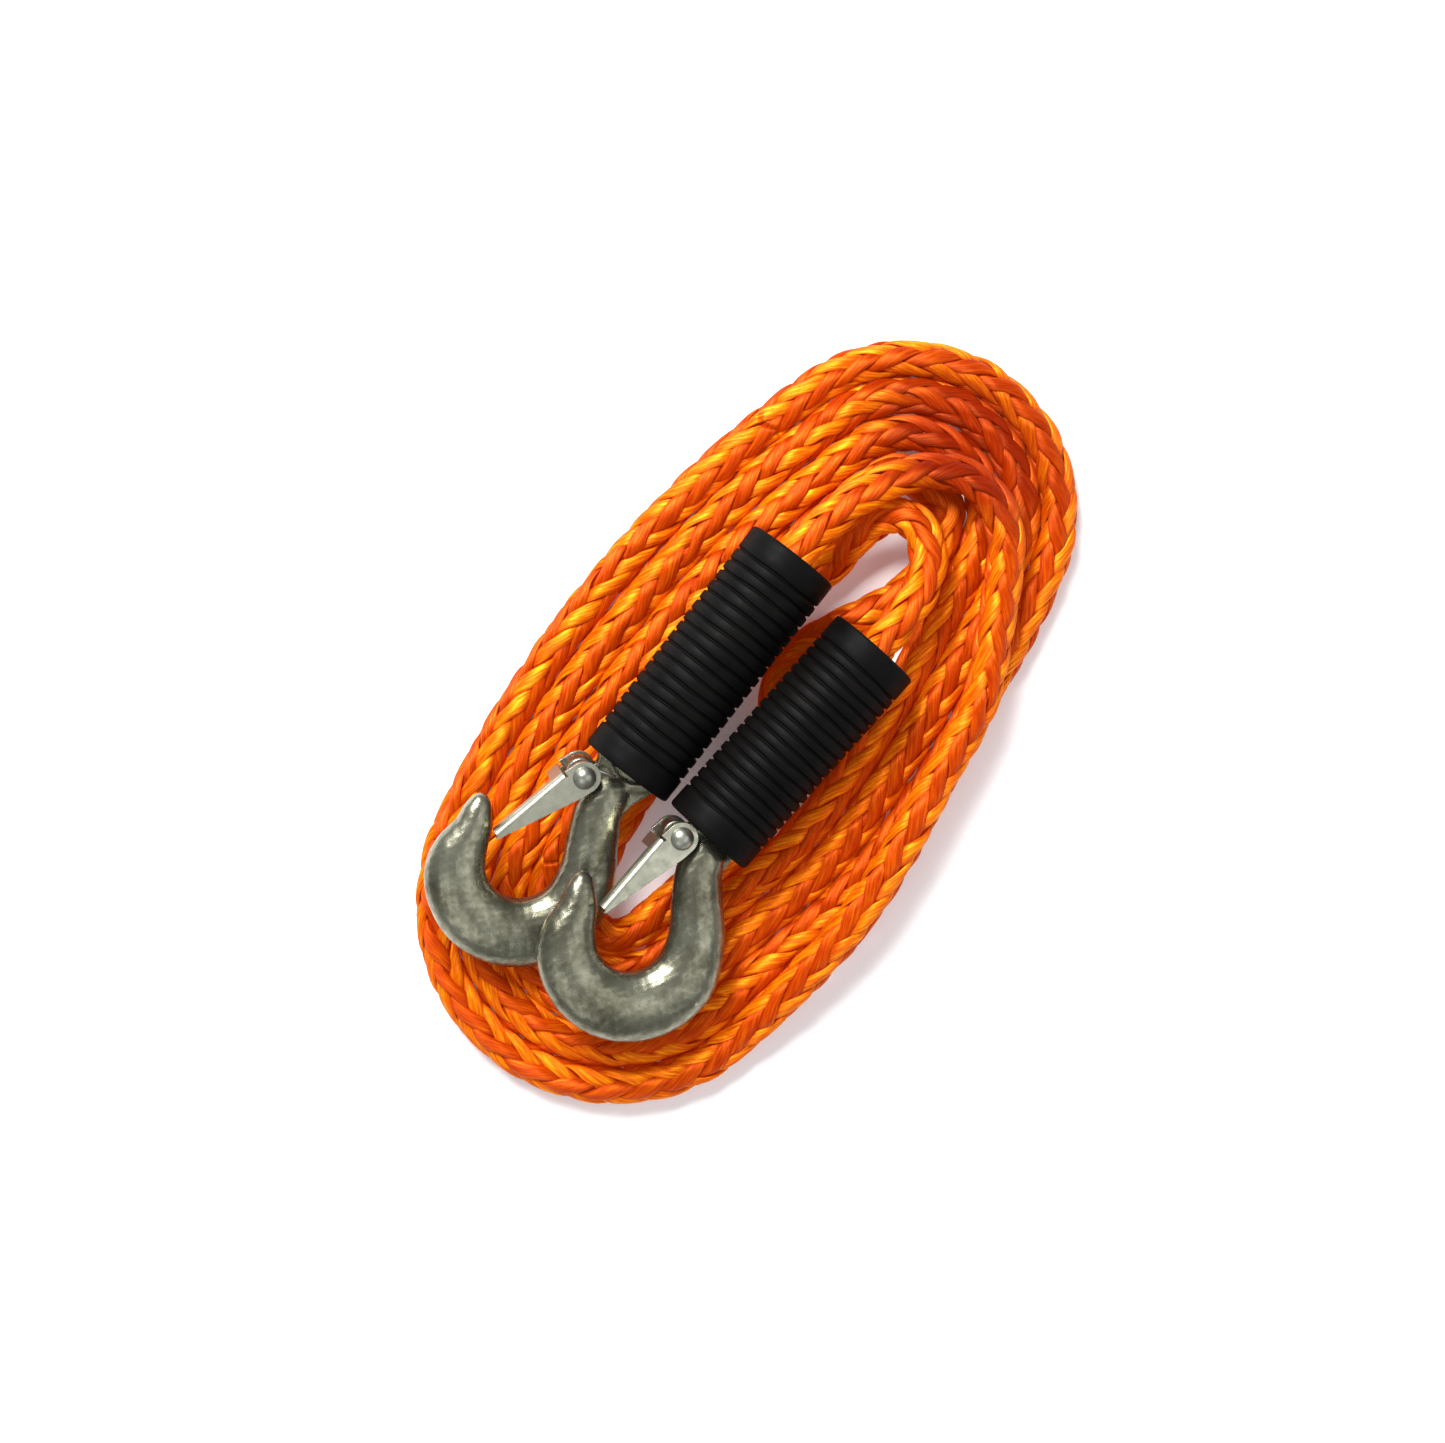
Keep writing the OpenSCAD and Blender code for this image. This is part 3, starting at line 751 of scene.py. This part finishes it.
def seat_cutter():
    sides = 96
    turns = [2 * math.pi * j / sides for j in range(sides)]
    ring = [(BOWL[0] + SEAT_R * math.cos(t), BOWL[1] + SEAT_R * math.sin(t)) for t in turns]
    ob = new_object("seat_cutter", *prism(ring, -SEAT_W / 2, SEAT_W / 2))
    outward(ob)
    return ob


def hook_mesh():
    """One forged hook in its own frame, in metres, with soft fillets where its parts meet."""
    bar = joined([hook_shank()], "hook_bar")
    cutter = seat_cutter()
    modify(bar, "BOOLEAN", operation="DIFFERENCE", object=cutter, solver="EXACT")
    apply_modifiers(bar)
    bpy.data.objects.remove(cutter)
    ob = joined([mesh_parts(bar), eye_ring(), flare(), lug()], "hook_blank")
    bpy.data.objects.remove(bar)
    modify(ob, "REMESH", mode="VOXEL", voxel_size=HOOK_VOXEL * MM, use_smooth_shade=True)
    modify(ob, "SMOOTH", factor=0.5, iterations=8)
    apply_modifiers(ob)
    shape, count = ob.data, len(ob.data.vertices)
    at, normal = np.empty(count * 3), np.empty(count * 3)
    shape.vertices.foreach_get("co", at)
    shape.vertices.foreach_get("normal", normal)
    at, normal = at.reshape(-1, 3), normal.reshape(-1, 3)
    shape.vertices.foreach_set("co", (at + normal * MM * forged_dent(at / MM)[:, None]).ravel())
    shape.update()
    return ob


def mesh_parts(ob):
    """An object's vertices, in millimetres, and faces."""
    return [tuple(v.co / MM) for v in ob.data.vertices], [tuple(p.vertices) for p in ob.data.polygons]


def forged_dent(p):
    """Slow unevenness of a drop forging, within about a tenth of a millimetre."""
    x, y, z = p.T
    slow = np.sin(x * 0.61 + np.sin(y * 0.43)) * np.sin(y * 0.53 + np.sin(z * 0.9))
    quick = np.sin(x * 1.7 + z) * np.sin(y * 1.4 - z * 1.1)
    return 0.06 * slow + 0.035 * quick


def zinc_material(name, dark, light, rough, pits):
    """Dull zinc plate on forged or pressed steel: mottled, with fine pits and brighter rubbed edges."""
    n = Nodes(name)
    where = n.node("TexCoord").outputs["Object"]
    mottle = n.noise(where, 300, detail=6, rough=0.62)
    cloud = n.noise(where, 60, detail=3)
    grain = n.noise(where, 1700, detail=4, rough=0.6)
    tone = n.maths("MULTIPLY_ADD", cloud, 0.55, n.maths("MULTIPLY", mottle, 0.5))
    colour = n.ramp(tone, [(0.36, dark), (0.66, light)])
    edge = n.ramp(n.node("NewGeometry").outputs["Pointiness"], [(0.5, 0.0), (0.62, 1.0)])
    colour = n.mix(n.maths("MULTIPLY", edge, 0.35), colour, (0.75, 0.75, 0.7))
    normal = n.bump(grain, 0.3 * pits, 0.0002)
    normal = n.bump(mottle, 0.5 * pits, 0.0004, normal)
    n.set(Base_Color=colour, Metallic=0.92, Normal=normal,
          Roughness=n.ramp(mottle, [(0.3, rough + 0.12), (0.7, rough - 0.06)]))
    return n.material


def make_hooks():
    blank = hook_mesh()
    zinc = zinc_material("hook_zinc", (0.075, 0.07, 0.04), (0.27, 0.265, 0.195), 0.26, 0.6)
    blank.data.materials.append(zinc)
    for i, ob in enumerate(twins(blank, "hook_{}_forging"), 1):
        settle(ob, hook_matrix(ENDS[i - 1]))
        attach(ob, f"hook_{i}")
        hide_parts(f"hook_{i}")


def twins(blank, name):
    """The blank and a copy of it, named for hook ends 1 and 2."""
    second = bpy.data.objects.new(name.format(2), blank.data.copy())
    bpy.context.scene.collection.objects.link(second)
    blank.name = name.format(1)
    return blank, second


def settle(ob, matrix_mm):
    """Moves a mesh made in its own frame, in metres, to its place."""
    move = matrix_mm.copy()
    move.translation = matrix_mm.translation * MM
    ob.data.transform(move)
    ob.data.update()


# ---------------------------------------------------------------- latches
LATCH_TURN = -20
LATCH_HEAD_R, LATCH_TIP_R, LATCH_LEN, LATCH_SHOULDER = 5.3, 1.4, 33.5, 3.5
LATCH_SHEET, LATCH_INSIDE = 1.5, 13
LATCH_SPINE_FROM, LATCH_EAR_END, LATCH_LIP = 4.5, 9, 4.5
FOLD_R = 1.3  # radius of the fold at the middle of the sheet
FOLD_STEPS = 5
LATCH_RELIEF = 0.9  # step between the rounded head and the spine


def arc(centre, r, start, stop, count):
    return [(centre[0] + r * math.cos(math.radians(a)), centre[1] + r * math.sin(math.radians(a)))
            for a in np.linspace(start, stop, count)]


def latch_outlines(slope):
    """Outlines of the upper and lower flange, and the spine's (edge x, top y, ear y, low y).

    Their frame starts where the sides begin to taper, with -Y along the side that carries the spine.
    """
    flat = rot("Z", -slope)
    head = flat @ Vector((0, LATCH_SHOULDER, 0))
    tip = flat @ Vector((0, LATCH_SHOULDER - LATCH_LEN, 0))
    inset = LATCH_SHEET / 2 - LATCH_HEAD_R + FOLD_R
    top, ear, low = LATCH_SHOULDER - LATCH_SPINE_FROM, LATCH_SHOULDER - LATCH_EAR_END, tip.y - 0.2
    right = arc((0, 0), LATCH_HEAD_R, -2 * slope, -slope, 3)
    crown = arc(head, LATCH_HEAD_R, -slope, 180 - slope, 26)
    left = arc((0, 0), LATCH_HEAD_R, 180 - slope, 180, 3)
    around = right[:-1] + crown + left[1:]
    around += [(-LATCH_HEAD_R, top + LATCH_RELIEF), (inset, top + LATCH_RELIEF), (inset, top), (inset, ear)]
    tip_from = -math.degrees(math.acos(clamp((inset - tip.x) / LATCH_TIP_R, -1, 1)))
    end = arc(tip, LATCH_TIP_R, tip_from, -2 * slope, 8)
    down = (right[0][1] - ear) / (right[0][1] - end[-1][1])
    ear_right = right[0][0] + (end[-1][0] - right[0][0]) * down
    return around + [(inset, low)] + end, around + [(ear_right, ear)], (inset, top, ear, low)


def latch_surface(slope):
    """Vertices and faces of the latch's middle surface: two flanges joined by the folded spine."""
    upper, lower, (inset, top, ear, low) = latch_outlines(slope)
    half = LATCH_INSIDE / 2 + LATCH_SHEET / 2
    verts = [(x, y, half) for x, y in upper] + [(x, y, -half) for x, y in lower]
    faces = [tuple(range(len(upper))), tuple(range(len(upper), len(verts)))[::-1]]
    at_top, at_ear = upper.index((inset, top)), upper.index((inset, ear))
    bend = [(FOLD_R * math.sin(t), FOLD_R * (1 - math.cos(t)))
            for t in (math.radians(90 * k / FOLD_STEPS) for k in range(1, FOLD_STEPS + 1))]
    wall = [(inset - dx, half - dz) for dx, dz in bend]
    wall.append((inset - FOLD_R, half + LATCH_SHEET / 2 - LATCH_LIP))
    lip_row = len(wall)
    wall += [(inset - dx, dz - half) for dx, dz in bend[::-1]]
    rows = [(at_top, at_ear, upper.index((inset, low)))]
    for row, (x, z) in enumerate(wall, 1):
        base = len(verts)
        verts += [(x, y, z) for y in ((top, ear, low) if row <= lip_row else (top, ear))]
        rows.append((base, base + 1, base + 2))
    rows.append((at_top + len(upper), at_ear + len(upper), 0))
    for row, (a, b) in enumerate(zip(rows, rows[1:]), 1):
        faces.append((a[0], a[1], b[1], b[0]))
        if row <= lip_row:
            faces.append((a[1], a[2], b[2], b[1]))
    return verts, faces


def latch_mesh():
    """The folded latch, its middle surface thickened, in the hook's frame."""
    slope = math.degrees(math.asin((LATCH_HEAD_R - LATCH_TIP_R) / (LATCH_LEN - LATCH_SHOULDER)))
    ob = new_object("latch_blank", *latch_surface(slope))
    outward(ob)
    modify(ob, "SOLIDIFY", thickness=LATCH_SHEET * MM, offset=0.0, use_even_offset=True)
    modify(ob, "BEVEL", width=0.3 * MM, segments=3, limit_method="ANGLE", angle_limit=math.radians(50))
    modify(ob, "WEIGHTED_NORMAL", keep_sharp=True)
    apply_modifiers(ob)
    settle(ob, Matrix.Translation((*RIVET_AT, 0)) @ rot("Z", LATCH_TURN)
           @ Matrix.Translation((0, -LATCH_SHOULDER, 0)) @ rot("Z", slope))
    return ob


def make_latches():
    blank = latch_mesh()
    blank.data.materials.append(zinc_material("latch_zinc", (0.2, 0.2, 0.14), (0.42, 0.42, 0.32), 0.3, 0.45))
    for i, ob in enumerate(twins(blank, "latch_{}_plate"), 1):
        settle(ob, hook_matrix(ENDS[i - 1]))
        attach(ob, f"latch_{i}")
        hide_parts(f"latch_{i}")


# ---------------------------------------------------------------- rivets and springs
RIVET_R, RIVET_HEAD_R, RIVET_DOME = 2.5, 3.8, 2.4


def rivet_profile():
    """From the flat closing head below to the top of the dome, as (radius, height)."""
    seat = LATCH_INSIDE / 2 + LATCH_SHEET + 0.1
    ball = (RIVET_HEAD_R**2 + RIVET_DOME**2) / (2 * RIVET_DOME)
    low = [(0, -seat - 1.2), (2.9, -seat - 1.2), (3.3, -seat - 1.1), (3.5, -seat - 0.8), (3.5, -seat - 0.1),
           (3.4, -seat), (RIVET_R, -seat), (RIVET_R, seat)]
    edge = math.asin(RIVET_HEAD_R / ball)
    dome = [(ball * math.sin(t), seat + RIVET_DOME - ball + ball * math.cos(t))
            for t in np.linspace(edge, 0, 14)]
    rim = [(RIVET_HEAD_R - 0.35, seat), (RIVET_HEAD_R, seat + 0.18)]
    return low + rim + dome[1:]


def make_rivets():
    bright = zinc_material("rivet_zinc", (0.16, 0.16, 0.125), (0.42, 0.42, 0.36), 0.32, 0.5)
    for i, end in enumerate(ENDS, 1):
        place = hook_matrix(end) @ Matrix.Translation((*RIVET_AT, 0)) @ rot("X", 90)
        ob = lathe(rivet_profile(), 48, place, f"latch_rivet_{i}_turned", False)
        ob.data.materials.append(bright)
        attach(ob, f"hook_{i}")
        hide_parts(f"latch_rivet_{i}")


SPRING_WIRE_R, SPRING_TURNS = 0.45, 3.3
SPRING_START = 215
SPRING_GAP_R, SPRING_GAP_Z = 0.35, 0.15
SPRING_LEG = (5, 10)  # distances of the points along each straight leg


def spring_points():
    r = RIVET_R + SPRING_WIRE_R + SPRING_GAP_R
    low = LUG_HIGH + SPRING_WIRE_R + SPRING_GAP_Z
    rise = LATCH_INSIDE / 2 - SPRING_WIRE_R - SPRING_GAP_Z - low
    start, total = SPRING_START, 360 * SPRING_TURNS

    def at(angle):
        t = math.radians(angle)
        return np.array([math.cos(t), math.sin(t), 0.0])

    first, last = at(start + 90), at(start - total - 90)
    begin = r * at(start) + (0, 0, low)
    end = r * at(start - total) + (0, 0, low + rise)
    turns = [r * at(start - a) + (0, 0, low + rise * a / total) for a in np.arange(0, total + 1, 12)]
    points = [begin + d * first for d in SPRING_LEG[::-1]] + turns + [end + d * last for d in SPRING_LEG]
    return np.array(points)


def make_springs():
    wire = zinc_material("spring_steel", (0.25, 0.25, 0.24), (0.48, 0.48, 0.46), 0.3, 0.2)
    points = spring_points()
    _, normal, side = frames_along(points)
    angle = 2 * np.pi * np.arange(10) / 10
    ring = np.cos(angle)[None, :, None] * normal[:, None, :] + np.sin(angle)[None, :, None] * side[:, None, :]
    verts = (points[:, None, :] + SPRING_WIRE_R * ring).reshape(-1, 3)
    for i, end in enumerate(ENDS, 1):
        place = hook_matrix(end) @ Matrix.Translation((*RIVET_AT, 0))
        ob = new_object(f"latch_spring_{i}_wire", [tuple(place @ Vector(v)) for v in verts],
                        capped_grid(len(points), len(angle)))
        outward(ob)
        ob.data.materials.append(wire)
        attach(ob, f"hook_{i}")
        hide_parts(f"latch_spring_{i}")


def finish_ferrules():
    """The crimped ferrules keep their CAD shape and get rounded edges and their metal."""
    metal = zinc_material("ferrule_aluminium", (0.5, 0.5, 0.5), (0.72, 0.72, 0.72), 0.34, 0.5)
    for i in (1, 2):
        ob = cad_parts[f"ferrule_{i}"]
        ob.data.materials.clear()
        ob.data.materials.append(metal)
        modify(ob, "BEVEL", width=0.35 * MM, segments=2, limit_method="ANGLE", angle_limit=math.radians(40))


# ---------------------------------------------------------------- stage, light and camera
VIEW_AT = (-7.5, -6.6)
FRAME_W = 476.9
LENS, SENSOR = 70.0, 36.0
FOCUS_Z = 15.0
FLOOR_Z = -0.9
FLOOR_HALF = 3000
CAMERA_TURN = 36.5
# Name, azimuth and elevation in degrees, distance and size in metres, and power in watts.
LIGHTS = (("key", 153, 50, 1.2, 0.6, 30), ("fill", 20, 50, 1.4, 1.1, 5), ("back", 285, 45, 1.4, 1.0, 4))
SKY_COLOUR, SKY_STRENGTH = (0.9, 0.94, 1.0), 0.36


def make_stage():
    corners = [(x, y, FLOOR_Z) for x, y in ((-1, -1), (1, -1), (1, 1), (-1, 1))]
    corners = [(x * FLOOR_HALF, y * FLOOR_HALF, z) for x, y, z in corners]
    floor = new_object("floor", corners, [(0, 1, 2, 3)], flat=True)
    n = Nodes("floor_paint")
    n.set(Base_Color=(0.95, 0.95, 0.95), Roughness=0.8, Specular_IOR_Level=0.2,
          Emission_Color=(1.0, 1.0, 1.0), Emission_Strength=0.08)
    floor.data.materials.append(n.material)


def area_light(name, azimuth, elevation, distance, size, watts):
    """A square soft light, azimuth counted from +X towards +Y, aimed at the middle of the hank."""
    data = bpy.data.lights.new(name, "AREA")
    data.shape = "SQUARE"
    data.size = size
    data.energy = watts
    ob = bpy.data.objects.new(name, data)
    a, e = math.radians(azimuth), math.radians(elevation)
    ob.location = Vector((math.cos(e) * math.cos(a), math.cos(e) * math.sin(a), math.sin(e))) * distance
    ob.rotation_euler = (-ob.location).to_track_quat("-Z", "Y").to_euler()
    bpy.context.scene.collection.objects.link(ob)


def make_lights():
    for light in LIGHTS:
        area_light(*light)
    world = bpy.data.worlds.new("studio")
    bpy.context.scene.world = world
    world.use_nodes = True
    background = world.node_tree.nodes["Background"]
    background.inputs["Color"].default_value = (*SKY_COLOUR, 1.0)
    background.inputs["Strength"].default_value = SKY_STRENGTH


def make_camera():
    data = bpy.data.cameras.new("overhead")
    data.lens = LENS
    data.sensor_width = SENSOR
    ob = bpy.data.objects.new("overhead", data)
    distance = FRAME_W * LENS / SENSOR
    ob.location = Vector((VIEW_AT[0], VIEW_AT[1], FOCUS_Z + distance)) * MM
    ob.rotation_euler = (0, 0, math.radians(CAMERA_TURN))
    bpy.context.scene.collection.objects.link(ob)
    bpy.context.scene.camera = ob
    bpy.context.scene.view_settings.view_transform = "Standard"


make_rope()
make_sleeves()
make_hooks()
make_latches()
make_rivets()
make_springs()
finish_ferrules()
make_stage()
make_lights()
make_camera()
